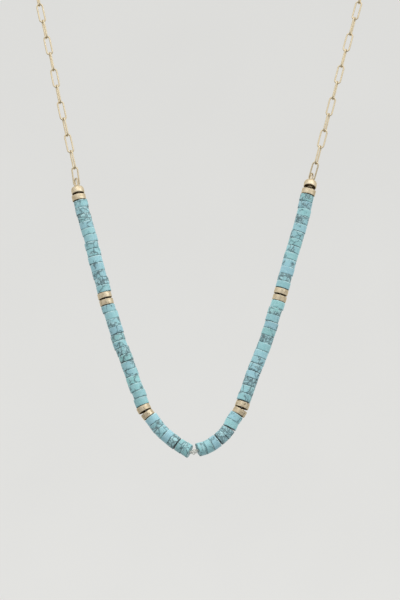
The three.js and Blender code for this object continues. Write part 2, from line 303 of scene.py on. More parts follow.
class Nodes:
    """Short calls for the nodes used below."""

    def __init__(self, nt):
        self.nt = nt

    def put(self, socket, v):
        if isinstance(v, bpy.types.NodeSocket):
            self.nt.links.new(v, socket)
        elif v is not None:
            socket.default_value = v

    def math(self, op, a, b=None, c=None, clamp=False):
        n = self.nt.nodes.new("ShaderNodeMath")
        n.operation, n.use_clamp = op, clamp
        for i, v in enumerate((a, b, c)):
            if v is not None:
                self.put(n.inputs[i], v)
        return n.outputs[0]

    def vec(self, op, a, b=None, scale=None):
        n = self.nt.nodes.new("ShaderNodeVectorMath")
        n.operation = op
        self.put(n.inputs[0], a)
        if b is not None:
            self.put(n.inputs[1], b)
        if scale is not None:
            self.put(n.inputs["Scale"], scale)
        return n.outputs["Value"] if op in ("LENGTH", "DOT_PRODUCT") else n.outputs["Vector"]

    def attr(self, name):
        n = self.nt.nodes.new("ShaderNodeAttribute")
        n.attribute_name = name
        return n

    def split(self, v):
        n = self.nt.nodes.new("ShaderNodeSeparateXYZ")
        self.put(n.inputs[0], v)
        return n.outputs

    def join(self, x, y, z):
        n = self.nt.nodes.new("ShaderNodeCombineXYZ")
        for i, v in enumerate((x, y, z)):
            self.put(n.inputs[i], v)
        return n.outputs[0]

    def noise(self, vector, scale, detail=2.0, rough=0.5, distortion=0.0, color=False):
        n = self.nt.nodes.new("ShaderNodeTexNoise")
        self.put(n.inputs["Vector"], vector)
        self.put(n.inputs["Scale"], scale)
        self.put(n.inputs["Detail"], detail)
        self.put(n.inputs["Roughness"], rough)
        self.put(n.inputs["Distortion"], distortion)
        return n.outputs["Color" if color else "Fac"]

    def cracks(self, vector, scale, randomness=1.0):
        n = self.nt.nodes.new("ShaderNodeTexVoronoi")
        n.feature = "DISTANCE_TO_EDGE"
        self.put(n.inputs["Vector"], vector)
        self.put(n.inputs["Scale"], scale)
        self.put(n.inputs["Randomness"], randomness)
        return n.outputs["Distance"]

    def ramp(self, v, a, b, lo=0.0, hi=1.0, smooth=True):
        n = self.nt.nodes.new("ShaderNodeMapRange")
        n.interpolation_type = "SMOOTHSTEP" if smooth else "LINEAR"
        n.clamp = True
        for i, x in enumerate((v, a, b, lo, hi)):
            self.put(n.inputs[i], x)
        return n.outputs[0]

    def mix(self, fac, a, b):
        n = self.nt.nodes.new("ShaderNodeMix")
        n.data_type = "RGBA"
        self.put(n.inputs[0], fac)
        self.put(n.inputs[6], a if isinstance(a, bpy.types.NodeSocket) else (*a, 1))
        self.put(n.inputs[7], b if isinstance(b, bpy.types.NodeSocket) else (*b, 1))
        return n.outputs[2]

    def bump(self, height, metres, strength=1.0, normal=None):
        n = self.nt.nodes.new("ShaderNodeBump")
        n.inputs["Strength"].default_value = strength
        n.inputs["Distance"].default_value = metres
        self.put(n.inputs["Height"], height)
        if normal is not None:
            self.put(n.inputs["Normal"], normal)
        return n.outputs["Normal"]

    def object_mm(self):
        n = self.nt.nodes.new("ShaderNodeTexCoord")
        return self.vec("SCALE", n.outputs["Object"], scale=1000.0)


def stone_material():
    m, nt, bsdf = shader("turquoise_stone")
    n = Nodes(nt)
    where = n.attr("stone_mm").outputs["Vector"]
    tone = n.split(n.attr("tone").outputs["Vector"])
    matrix, hue, value = tone[0], tone[1], tone[2]
    rim = n.attr("rim").outputs["Fac"]
    upper, lower = n.math("MAXIMUM", rim, 0.0), n.math("MAXIMUM", n.math("MULTIPLY", rim, -1.0), 0.0)
    joint_shade = n.attr("joint_shade").outputs["Fac"]

    def warp(vector, source, scale, by):
        """Pushes a vector about by coloured noise."""
        return n.vec("ADD", vector, n.vec("SCALE", n.vec("SUBTRACT", n.noise(source, scale, 2.0, 0.55, color=True), (0.5, 0.5, 0.5)), scale=by))

    # veins: the borders of warped cells, of a width that comes and goes, and only some of them
    warped = warp(where, where, 0.5, 2.0)
    wide = n.noise(n.vec("ADD", where, (7.3, 1.7, 4.1)), 1.0, 2.0, 0.6)
    big = n.cracks(warped, 0.46)
    width = n.math("MULTIPLY", n.ramp(wide, 0.32, 0.72, 0.016, 0.085), n.math("MULTIPLY_ADD", matrix, 0.50, 0.66))
    line = n.ramp(n.math("DIVIDE", big, width), 0.40, 1.45, 1.0, 0.0)
    here = n.noise(n.vec("ADD", where, (21.0, 3.0, 11.0)), 0.42, 1.0, 0.5)
    some = n.ramp(n.math("MULTIPLY_ADD", matrix, 0.42, here), 0.60, 0.70)
    major = n.math("MULTIPLY", line, some)

    fine = n.cracks(warp(warped, where, 1.6, 0.6), 0.86)
    thin = n.ramp(n.math("DIVIDE", fine, n.ramp(wide, 0.3, 0.7, 0.045, 0.135)), 0.35, 1.45, 1.0, 0.0)
    patch = n.noise(n.vec("ADD", where, (2.0, 31.0, 5.0)), 0.50, 1.0, 0.5)
    net = n.ramp(n.math("MULTIPLY_ADD", matrix, 0.46, patch), 0.74, 0.90)
    minor = n.math("MULTIPLY", thin, net)
    veins = n.math("MAXIMUM", major, n.math("MULTIPLY", minor, 0.88))

    # the body colour drifts inside a disc and from disc to disc, paler in the cells of a net
    drift = n.noise(where, 0.35, 2.0, 0.5)
    cloud = n.noise(where, 1.5, 3.0, 0.6)
    mottle = n.noise(where, 4.2, 3.0, 0.6)
    body = n.mix(n.ramp(n.math("ADD", hue, n.math("MULTIPLY_ADD", drift, 0.9, -0.45)), 0.0, 1.0, smooth=False), TEAL, SKY)
    body = n.mix(n.math("MAXIMUM", n.ramp(cloud, 0.44, 0.80, 0.0, 0.50), n.math("MULTIPLY", net, 0.45)), body, PALE)
    body = n.mix(n.ramp(mottle, 0.30, 0.62, 0.26, 0.0), body, DEEP)
    halo = n.math("MAXIMUM", n.math("MULTIPLY", n.ramp(big, 0.0, 0.20, 0.50, 0.0), some), n.math("MULTIPLY", n.ramp(fine, 0.0, 0.22, 0.34, 0.0), net))
    body = n.mix(n.math("MULTIPLY", halo, 0.85), body, (0.120, 0.255, 0.282))
    # rims: a painted highlight on the upper rims, dark patches on some of them, and painted shade along the lower rims
    rim_patches = n.noise(n.vec("ADD", where, (13.0, 17.0, 1.0)), 0.75, 2.0, 0.6)
    # painted highlight on the upper rims, where the top light catches them
    body = n.mix(n.math("MULTIPLY", n.ramp(upper, 0.1, 0.8), n.ramp(rim_patches, 0.60, 0.42, 0.10, 0.75)), body, (0.60, 0.82, 0.83))
    body = n.mix(n.math("MULTIPLY", n.ramp(upper, 0.3, 0.9), n.ramp(rim_patches, 0.60, 0.68, 0.0, 0.65)), body, (0.090, 0.165, 0.180))
    # painted shade along the lower rims
    body = n.mix(n.math("MULTIPLY", n.ramp(lower, 0.15, 0.9), n.ramp(rim_patches, 0.44, 0.62, 0.06, 0.72)), body, (0.115, 0.215, 0.235))
    ink = n.mix(n.ramp(n.noise(where, 2.4, 2.0, 0.5), 0.35, 0.65), (0.050, 0.088, 0.104), (0.088, 0.112, 0.114))
    specks = n.ramp(n.noise(where, 9.0, 2.0, 0.6), 0.70, 0.78, 0.0, 0.5)
    body = n.mix(n.math("MULTIPLY", specks, n.math("MULTIPLY_ADD", matrix, 0.8, 0.15)), body, (0.10, 0.17, 0.18))
    body = n.mix(n.math("MULTIPLY", veins, 0.72), body, ink)
    # painted shade in the joints between discs
    body = n.mix(joint_shade, body, (0.040, 0.072, 0.080))
    lit = n.nt.nodes.new("ShaderNodeHueSaturation")
    n.put(lit.inputs["Color"], body)
    n.put(lit.inputs["Value"], value)
    n.put(bsdf.inputs["Base Color"], lit.outputs["Color"])

    grain = n.noise(where, 14.0, 3.0, 0.65)
    rough = n.math("ADD", n.ramp(cloud, 0.3, 0.8, 0.36, 0.48), n.math("MULTIPLY", veins, 0.22))
    n.put(bsdf.inputs["Roughness"], rough)
    relief = n.math("SUBTRACT", n.math("MULTIPLY", grain, 0.16), n.math("MULTIPLY", veins, 0.9))
    relief = n.math("SUBTRACT", relief, n.math("MULTIPLY", specks, 0.5))
    n.put(bsdf.inputs["Normal"], n.bump(relief, 0.030 * MM, 0.8))
    bsdf.inputs["Specular IOR Level"].default_value = 0.40
    return m


TEAL, SKY, PALE, DEEP = (0.295, 0.600, 0.592), (0.322, 0.572, 0.655), (0.510, 0.740, 0.770), (0.225, 0.470, 0.495)


def gold_material(name, colour, deep, rough_lo, rough_hi, turned_lines):
    m, nt, bsdf = shader(name)
    n = Nodes(nt)
    where = n.attr("local_mm").outputs["Vector"]
    bsdf.inputs["Metallic"].default_value = 1.0
    bsdf.inputs["Specular Tint"].default_value = (0.86, 0.74, 0.52, 1)
    blotch = n.noise(where, 0.9, 3.0, 0.6)
    # painted shade on the faces between discs and in the hollows under the caps, and dark in the pits of worn plating
    pits = n.ramp(n.noise(n.vec("ADD", where, (3.0, 9.0, 27.0)), 2.6, 2.0, 0.6), 0.57, 0.66)
    pits_and_shade = n.math("MAXIMUM", n.attr("painted_shade").outputs["Fac"], n.math("MULTIPLY", pits, n.attr("wear").outputs["Fac"]))
    metal = n.mix(n.ramp(blotch, 0.38, 0.75, 0.0, 0.6), colour, deep)
    # painted light: the bail's gold is made paler than the cap's to lift it out of its shade
    metal = n.mix(n.attr("bright").outputs["Fac"], metal, (0.78, 0.70, 0.54))
    # painted shade and worn pits both darken the base colour
    n.put(bsdf.inputs["Base Color"], n.mix(pits_and_shade, metal, (0.100, 0.058, 0.013)))
    xyz = n.split(where)
    radius = n.vec("LENGTH", n.join(xyz[0], 0.0, xyz[2]))
    lines = n.noise(n.join(n.math("MULTIPLY", xyz[1], 16.0), n.math("MULTIPLY", radius, 16.0), n.math("MULTIPLY", xyz[0], 0.35)), 1.0, 2.0, 0.6)
    scuffs = n.noise(n.vec("MULTIPLY", where, (3.0, 9.0, 3.0)), 1.0, 3.0, 0.7)
    soft = n.noise(where, 1.6, 1.0, 0.5)
    rough = n.ramp(n.math("MULTIPLY_ADD", scuffs, 0.5, n.math("MULTIPLY", blotch, 0.5)), 0.35, 0.65, rough_lo, rough_hi)
    n.put(bsdf.inputs["Roughness"], n.math("MULTIPLY_ADD", pits_and_shade, 0.25, rough))
    height = n.math("ADD", n.math("MULTIPLY", lines, turned_lines), n.math("ADD", n.math("MULTIPLY", scuffs, 0.25), n.math("MULTIPLY", soft, 1.3)))
    n.put(bsdf.inputs["Normal"], n.bump(height, 0.010 * MM, 0.7))
    return m


def thread_material():
    m, nt, bsdf = shader("beading_thread")
    n = Nodes(nt)
    where = n.object_mm()
    fibre = n.noise(where, 9.0, 3.0, 0.7)
    shade_in_beads = n.attr("shade_in_beads").outputs["Fac"]
    plain = n.mix(n.ramp(fibre, 0.3, 0.7), (0.80, 0.78, 0.70), (0.96, 0.945, 0.90))
    # painted shade inside the end beads
    n.put(bsdf.inputs["Base Color"], n.mix(shade_in_beads, plain, (0.22, 0.14, 0.055)))
    n.put(bsdf.inputs["Roughness"], n.ramp(fibre, 0.3, 0.7, 0.55, 0.75))
    n.put(bsdf.inputs["Normal"], n.bump(fibre, 0.02 * MM, 0.8))
    return m


STONE = stone_material()
SPACER = gold_material("spacer_gold", (0.68, 0.59, 0.43), (0.485, 0.385, 0.24), 0.37, 0.55, 0.9)
CHAIN_GOLD = gold_material("chain_gold", (0.65, 0.56, 0.395), (0.57, 0.465, 0.30), 0.27, 0.39, 0.2)
THREAD = thread_material()

# ------------------------------------------------------------------ stone discs

DISC_SIDES = 60
AMOUNT = {".": (0.02, 0.22), "-": (0.36, 0.62), "#": (0.80, 1.0)}


def stone_disc(build, centre, turn, thick, radius, rng, matrix, low_normal, high_normal, edge, vein, shade):
    h, c, b = thick / 2, edge, STONE_BORE_D / 2
    inner = [(b, -h + 0.08), (b + 0.08, -h), ((b + radius) / 2, -h), (radius - c - 0.06, -h), (radius - c, -h)]
    low = arc(radius - c, -h + c, c, -90, 0, 4)
    wall = [(radius, -h + c + (2 * h - 2 * c) * k / 7) for k in range(1, 7)]
    high = [(r, -y) for r, y in reversed([(radius - c, -h)] + low)]
    outer = [(r, -y) for r, y in reversed(inner[:-1])]
    profile = inner + low + wall + high + outer
    rings = turned(profile, DISC_SIDES)
    theta = np.arctan2(rings[..., 2], rings[..., 0])
    r = np.hypot(rings[..., 0], rings[..., 2])
    y = rings[..., 1]
    # signed rim mask: upper rims get a painted highlight, lower rims painted shade
    rim = np.sign(y) * np.clip((r - (radius - 2.5 * c)) / (2.0 * c), 0, 1) * np.clip((np.abs(y) - (h - 2.2 * c)) / (1.4 * c), 0, 1)
    # painted shade down in the joint between two discs, more at some joints than at others
    deep_low, deep_high = shade
    joint_shade = np.where(y < 0, deep_low, deep_high) * np.clip((radius - 0.10 * c - r) / (0.55 * c), 0, 1)
    # hand-cut discs aren't quite round or flat, and their edges are chipped
    lump = sum(a * np.cos(k * theta + p) for k, a, p in zip((2, 3, 5, 7), (0.020, 0.014, 0.009, 0.006), rng.uniform(0, 6.3, 4)))
    lump = lump + 0.014 * rng.uniform(-1, 1) * y / h * np.cos(theta + rng.uniform(0, 6.3))
    keep = np.clip((r - b) / (radius - b), 0, 1)
    new_r = r + lump * keep
    new_y = y + 0.0
    for _ in range(rng.integers(4, 9)):
        side, at = rng.choice([-1, 1]), rng.uniform(-math.pi, math.pi)
        size, depth = rng.uniform(0.10, 0.34), rng.uniform(0.03, 0.12)
        away = np.abs((theta - at + math.pi) % (2 * math.pi) - math.pi) * radius
        near = np.exp(-((away / size) ** 2 + ((y - side * (h - 0.4 * c)) / 0.17) ** 2 + ((r - radius) / 0.3) ** 2))
        new_r = new_r - depth * near
        new_y = new_y - side * 0.6 * depth * near
    local = np.stack([new_r * np.cos(theta), new_y, new_r * np.sin(theta)], axis=-1)
    # worn against its neighbours: each face lies along the bend of the thread
    share = (y + h) / (2 * h)
    for normal, part in ((low_normal, 1 - share), (high_normal, share)):
        n = turn.T @ normal
        local[..., 1] -= FILL * part * (n[0] * local[..., 0] + n[2] * local[..., 2]) / n[1]
    flat = build.loft(local @ turn.T + centre, wrap=True)
    spin, shift = vein
    build.value("stone_mm", local.reshape(-1, 3) @ spin.T + shift)
    lo, hi = AMOUNT[matrix]
    tone = [rng.uniform(lo, hi), np.clip(rng.normal(0.55, 0.28), 0, 1), rng.uniform(0.92, 1.06)]
    build.value("tone", np.tile(tone, (len(flat), 1)))
    build.value("rim", rim.reshape(-1))
    build.value("joint_shade", joint_shade.reshape(-1))


FILL = 0.85  # how far the faces follow the bend


def lean_back(s):
    """The discs at the bottom hang back a little from square with the thread, in degrees."""
    return 4.5 * min(1.0, max(0.0, (44.0 - s) / 30.0)) + 6.0 * min(1.0, max(0.0, (9.0 - s) / 6.5))


def shingled(side, s):
    """Route at a distance, with the direction and front of a disc threaded there."""
    point, along, front = SIDES[side].at(s)
    c, d = math.cos(math.radians(lean_back(s))), math.sin(math.radians(lean_back(s)))
    return point, c * along - d * front, c * front + d * along


def stone_run(side, run, start, count, pitch):
    rng = np.random.default_rng(sum(map(ord, side + run)) * 7 + 3)
    gaps = OPEN_GAPS.get((side, run), {})
    space = [gaps.get(i, rng.uniform(0.012, 0.030)) for i in range(count - 1)]
    start, length = start - SNUG[side][run][0], (count - 1) * pitch + STONE_T + sum(SNUG[side][run])
    share = rng.uniform(0.92, 1.08, count)
    if run == "lower":
        share[:2] *= 0.93
    # how much painted shade each joint gets: mostly faint, dark here and there and where the discs stand apart
    shade = rng.choice([0.03, 0.13, 0.44], count + 1, p=[0.48, 0.32, 0.20])
    for i in gaps:
        shade[i + 1] = 0.78
    shade[0], shade[-1] = (0.15 if run == "lower" else 0.70), 0.80
    thick = share / share.sum() * (length - sum(space))
    build = Builder()
    s = start
    for i in range(count):
        matrix = MATRIX[side][run][i]
        low, n_low, _ = shingled(side, s)
        high, n_high, _ = shingled(side, s + thick[i])
        _, along, front = shingled(side, s + thick[i] / 2)
        if i and matrix == MATRIX[side][run][i - 1] and matrix != "." and rng.random() < 0.7:
            # cut from the same piece as the disc below it
            vein = (vein[0], vein[1] + vein[0] @ np.array([0, (thick[i] + thick[i - 1]) / 2, 0]))
        else:
            q = unit(rng.normal(size=3))
            w = unit(np.cross(q, rng.normal(size=3)))
            vein = (np.stack([q, w, np.cross(q, w)]), rng.uniform(-60, 60, 3))
            roll = rng.uniform(0, 360)
        turn = basis(along, front, roll) @ tilt(rng, 0.5)
        back, play = (0.10, 0.09) if run == "lower" else (0.0, 0.16)
        off = basis(along, front) @ np.array([rng.uniform(-play, play), 0, rng.uniform(-0.06, 0.02) - back])
        stone_disc(build, (low + high) / 2 + off, turn, thick[i], STONE_D / 2 * rng.uniform(0.972, 1.002), rng,
                   matrix, n_low, n_high, rng.uniform(0.07, 0.13), vein, (shade[i], shade[i + 1]))
        s += thick[i] + (space[i] if i < count - 1 else 0)
    node = f"beads_{side}_{run}"
    return build.make(f"stone_discs_{side}_{run}", STONE, "stone", [node])


# ------------------------------------------------------------------ gold discs and end beads

GOLD_SIDES = 96


# how far each spacer disc and end bead sits off the line of the thread, across it
ASIDE = {
    "left": {1: -0.20, 2: -0.26, 3: -0.18, 4: -0.22, 5: -0.22, "bead": -0.20},
    "right": {1: 0.24, 2: 0.12, 3: 0.08, 4: 0.0, 5: 0.0, "bead": 0.0},
}
# the lower pair on the right is a little thicker: extra thickness, and shift up the thread
THICK = {("right", 1): (0.08, 0.05), ("right", 2): (0.10, 0.16)}
WORN = {("left", 1): 0.65, ("left", 2): 0.45, ("left", 3): 0.40, ("left", 4): 0.25, ("right", 1): 0.90, ("right", 2): 0.95, ("right", 3): 0.25, ("right", 4): 0.30, ("right", 5): 0.10}


def gold_disc(side, number, s, rng, nod):
    """nod is the turn of the disc's axis towards the front, in degrees."""
    extra, up = THICK.get((side, number), (0.0, 0.0))
    s += up
    h, r, b, c = (GOLD_T + extra) / 2 - 0.03, GOLD_D / 2 * (0.925 if (side, number) == ("left", 1) else 0.995), GOLD_BORE_D / 2, 0.15
    half = [(b, -h + 0.16), (b + 0.03, -h + 0.05), (b + 0.10, -h), (b + 0.35, -h + 0.01), ((b + r) / 2, -h), (r - c - 0.08, -h), (r - c, -h)]
    half += arc(r - c, -h + c, c, -90, 0, 8)
    wall = [(r + 0.004, 0.0)]
    profile = half + wall + [(x, -y) for x, y in reversed(half)]
    local = turned(profile, GOLD_SIDES)
    # painted shade on the flat faces, which face the next disc
    painted_shade = np.clip((r - 0.25 * c - np.hypot(local[..., 0], local[..., 2])) / (0.9 * c), 0, 1)
    theta = np.arctan2(local[..., 2], local[..., 0])
    grow = 1 + 0.0016 * np.cos(3 * theta + rng.uniform(0, 6.3)) + 0.0012 * np.cos(5 * theta + rng.uniform(0, 6.3))
    local = local * np.stack([grow, np.ones_like(grow), grow], axis=-1)
    point, along, front = shingled(side, s)
    point = point + ASIDE[side][number] * unit(np.cross(along, front))
    c, d = math.cos(math.radians(nod)), math.sin(math.radians(nod))
    turn = basis(c * along + d * front, c * front - d * along, rng.uniform(0, 360)) @ tilt(rng, 0.9)
    build = Builder()
    build.loft(local @ turn.T + point, wrap=True)
    build.value("painted_shade", painted_shade.reshape(-1))
    build.value("wear", np.full(painted_shade.size, WORN.get((side, number), 0.1)))
    build.value("local_mm", local.reshape(-1, 3) + np.array([0, 7.0 * number, 0]))
    return build.make(f"gold_spacer_{side}_{number}", SPACER, "spacer_gold", [f"gold_disc_{side}_{number}"])


def ring_path(width, length, wire, ends=18, straight=8):
    """Centre line of a long ring in the local XY plane: points and the outward normal at each."""
    r = (width - wire) / 2
    a = (length - wire) / 2 - r
    rows = []
    for base, cy in ((0, a), (180, -a)):
        for k in range(ends + 1):
            t = math.radians(base + 180 * k / ends)
            rows.append((r * math.cos(t), cy + r * math.sin(t), math.cos(t), math.sin(t)))
        side = -1 if base == 0 else 1
        for k in range(1, straight):
            y = a - 2 * a * k / straight
            rows.append((side * r, y * (1 if base == 0 else -1), side, 0.0))
    return np.array(rows)


def ring_mesh(width, length, wire, sides=16, seam=None, bow=0.0):
    """A long ring of round wire. seam is the place along one long side where it is soldered."""
    rows = ring_path(width, length, wire)
    rings = []
    for x, y, nx, ny in rows:
        rad = wire / 2
        if seam is not None and nx > 0.99:
            d = (y - seam) / 0.16
            rad *= 1 + 0.075 * math.exp(-d * d) - 0.05 * math.exp(-((y - seam) / 0.05) ** 2)
        half = (length - wire) / 2
        swell = bow * max(0.0, 1 - (y / half) ** 2) * (1 if nx > 0 else -1) * abs(nx)
        t = np.arange(sides) * 2 * math.pi / sides
        rings.append([(x + swell + rad * math.cos(a) * nx, y + rad * math.cos(a) * ny, rad * math.sin(a)) for a in t])
    return np.array(rings)


def united(objects):
    """Joins overlapping closed shells into one skin."""
    base = objects[0]
    for other in objects[1:]:
        mod = base.modifiers.new("join", "BOOLEAN")
        mod.operation, mod.solver, mod.object = "UNION", "EXACT", other
    dg = bpy.context.evaluated_depsgraph_get()
    mesh = bpy.data.meshes.new_from_object(base.evaluated_get(dg))
    base.modifiers.clear()
    base.data = mesh
    for other in objects[1:]:
        bpy.data.objects.remove(other)
    return base


def smooth_by_angle(obj, degrees):
    mesh = obj.data
    bm = bmesh.new()
    bm.from_mesh(mesh)
    limit = math.radians(degrees)
    for e in bm.edges:
        e.smooth = len(e.link_faces) == 2 and e.calc_face_angle(0) < limit
    for f in bm.faces:
        f.smooth = True
    bm.to_mesh(mesh)
    bm.free()


TIP = {"left": 8.0, "right": 20.0}  # the end beads tip back on the thread, degrees
TUBE = {"left": 0.18, "right": 0.34}  # how far the tube round the bore stands out below the rim
RIM = 1.55  # from a bead's middle to the part of its rim that then rests on the disc below


def end_bead_place(side, s):
    """Base point of an end bead, its direction and its front, tipped back over its far rim."""
    point, along, front = SIDES[side].at(s)
    c, d = math.cos(math.radians(TIP[side])), math.sin(math.radians(TIP[side]))
    base = point + along * (RIM * d - 0.12) - front * RIM * (1 - c) + ASIDE[side]["bead"] * unit(np.cross(along, front))
    return base, c * along - d * front, c * front + d * along


def end_bead(side, s):
    point, along, front = end_bead_place(side, s)
    r, b, reach = BEAD_D / 2, GOLD_BORE_D / 2, TUBE[side]
    # a boxy cap: hollow below, nearly straight sides, rounded shoulders
    outline = [
        (0, BEAD_BORE_DEPTH), (b * 0.7, BEAD_BORE_DEPTH), (b, BEAD_BORE_DEPTH - 0.08), (b, 0.06 - reach), (b + 0.04, -reach), (b + 0.14, -reach),
        (b + 0.18, 0.06 - reach), (b + 0.20, 0.60), (b + 0.30, 0.68), (r - 0.62, 0.60), (r - 0.38, 0.40), (r - 0.24, 0.14), (r - 0.20, 0.03), (r - 0.16, 0.0), (r - 0.10, 0.02), (r - 0.04, 0.10),
        (r - 0.01, 0.24), (r, 0.45), (r, 0.80), (r - 0.01, 1.10), (r - 0.04, 1.36), (r - 0.10, 1.58), (r - 0.20, 1.78),
        (r - 0.34, 1.95), (r - 0.54, 2.09), (r - 0.80, 2.19), (r - 1.10, 2.25), (r - 1.45, 2.285), (0.2, BEAD_H), (0, BEAD_H),
    ]
    turn = basis(along, front)
    dome, bail = Builder(), Builder()
    local = turned(outline, 80)
    flat = dome.loft(local @ turn.T + point, poles=True)
    inside = (flat - point) @ turn
    dome.value("local_mm", inside)
    radius = np.hypot(inside[:, 0], inside[:, 2])
    # painted shade in the hollow under the cap and up its bore
    dome.value("painted_shade", 0.12 * ((inside[:, 1] < 0.60) & (radius < r - 0.19) | (inside[:, 1] < BEAD_BORE_DEPTH + 0.01) & (radius < r - 0.5)))
    loop = ring_mesh(BAIL_W, BAIL_RISE + BAIL_SINK, BAIL_WIRE_D, sides=18)
    lift = np.array([0, BEAD_H + (BAIL_RISE - BAIL_SINK) / 2, 0])
    turn_loop = basis(along, front, ROLL[side]["bail"])
    bail.loft((loop + lift) @ turn_loop.T + point, wrap=True)
    bail.value("local_mm", loop.reshape(-1, 3) + lift)
    bail.value("painted_shade", np.zeros(loop.shape[0] * loop.shape[1]))
    dome.value("wear", np.full(len(flat), 0.12))
    bail.value("wear", np.zeros(loop.shape[0] * loop.shape[1]))
    # painted light on the bail only
    dome.value("bright", np.zeros(len(flat)))
    bail.value("bright", np.ones(loop.shape[0] * loop.shape[1]))
    a = dome.make(f"end_bead_{side}_gold", SPACER, "spacer_gold", [f"end_bead_{side}"])
    c = bail.make(f"bail_{side}_scrap", SPACER, "spacer_gold")
    obj = united([a, c])
    smooth_by_angle(obj, 32)
    return obj


# ------------------------------------------------------------------ chain and clasp

TOUCH = WIRE_D + 0.012  # centre to centre of two wires that touch


def chain(side, s_bead):
    route = SIDES[side]
    total = route.total
    low = s_bead + BEAD_H + BAIL_SLACK - 0.24  # lowest wire of the first link
    high = total - (CLASP_EYE + EYE_REACH) + TOUCH
    links = CHAIN["front"] + sum(CHAIN["back"])
    reach = (high - low + (links - 1) * TOUCH) / links  # between the two end wires of a link
    pitch = reach - TOUCH
    flat, edge = ROLL[side]["flat"], ROLL[side]["edge"]
    _, along, front = route.at(total - CLASP_EYE)
    across = np.cross(along, front)
    level = math.degrees(math.atan2(across[2], front[2]))
    twist = (level - (edge if (links - 1) % 2 else flat)) % 180
    if twist > 90:
        twist -= 180
    rng = np.random.default_rng(11 if side == "left" else 29)
    names = ["front"] + [f"back_{k + 1}" for k in range(len(CHAIN["back"]))]
    counts = [CHAIN["front"]] + CHAIN["back"]
    number = 0
    for name, count in zip(names, counts):
        build = Builder()
        for _ in range(count):
            s0 = low + number * pitch
            a, b = route.at(s0)[0], route.at(s0 + reach)[0]
            if number == 0:
                base, axis, _ = end_bead_place(side, s_bead)
                a = base + axis * (low - s_bead + 0.02)
            _, _, f = route.at(s0 + reach / 2)
            up = unit(b - a)
            f = unit(f - f.dot(up) * up)
            extra = twist * max(0.0, (number - CHAIN["front"]) / (links - 1 - CHAIN["front"]))
            roll = (edge if number % 2 else flat) + extra + rng.uniform(-5, 5)
            local = ring_mesh(LINK_W * rng.uniform(0.935, 0.965), np.linalg.norm(b - a) + WIRE_D, WIRE_D,
                              seam=rng.uniform(-0.8, 0.8), bow=rng.uniform(-0.02, 0.05))
            if rng.random() < 0.5:
                local = local * np.array([-1, 1, -1])
            turn = basis(up, f, roll)
            build.loft(local @ turn.T + (a + b) / 2, wrap=True)
            build.value("local_mm", local.reshape(-1, 3) + np.array([0, 11.0 * number, 0]))
            number += 1
        build.make(f"paperclip_chain_{side}_{name}", CHAIN_GOLD, "chain_gold", [f"chain_{side}_{name}"])


def clasp():
    h, r = CLASP_L / 2, CLASP_D / 2
    half = [(0, -h), (0.30, -h), (0.62, -h + 0.05), (0.84, -h + 0.20), (0.93, -h + 0.42), (1.02, -h + 0.62), (1.16, -h + 0.84),
            (1.25, -h + 1.10), (r - 0.01, -h + 1.40), (r, -h + 1.75), (r, -0.95), (r - 0.015, -0.90), (r - 0.10, -0.86), (r - 0.10, -0.74),
            (r - 0.015, -0.70), (r, -0.65), (r, -0.10), (r - 0.03, -0.05)]
    profile = half + [(r - 0.10, -0.02), (r - 0.10, 0.02)] + [(x, -y) for x, y in reversed(half)]
    turn = basis(np.array([1.0, 0, 0]), np.array([0, 1.0, 0]))
    centre = np.array([0.0, NAPE["y"], NAPE["z"]]) - ORIGIN
    barrel = Builder()
    flat = barrel.loft(turned(profile, 72) @ turn.T + centre, poles=True)
    barrel.value("local_mm", (flat - centre) @ turn)
    parts = [barrel.make("barrel_clasp", SPACER, "chain_gold", ["clasp"])]
    for end in (-1, 1):
        eye = Builder()
        local = ring_mesh(EYE_D, EYE_D + 0.001, WIRE_D, sides=18) + np.array([0, end * CLASP_EYE, 0])
        eye.loft(local @ turn.T + centre, wrap=True)
        eye.value("local_mm", local.reshape(-1, 3))
        parts.append(eye.make(f"clasp_eye_scrap_{end + 1}", SPACER, "chain_gold"))
    obj = united(parts)
    smooth_by_angle(obj, 32)
    return obj


# ------------------------------------------------------------------ thread

PLY_D, PLY_OFF, PLY_TURN = 0.32, 0.155, 1.9


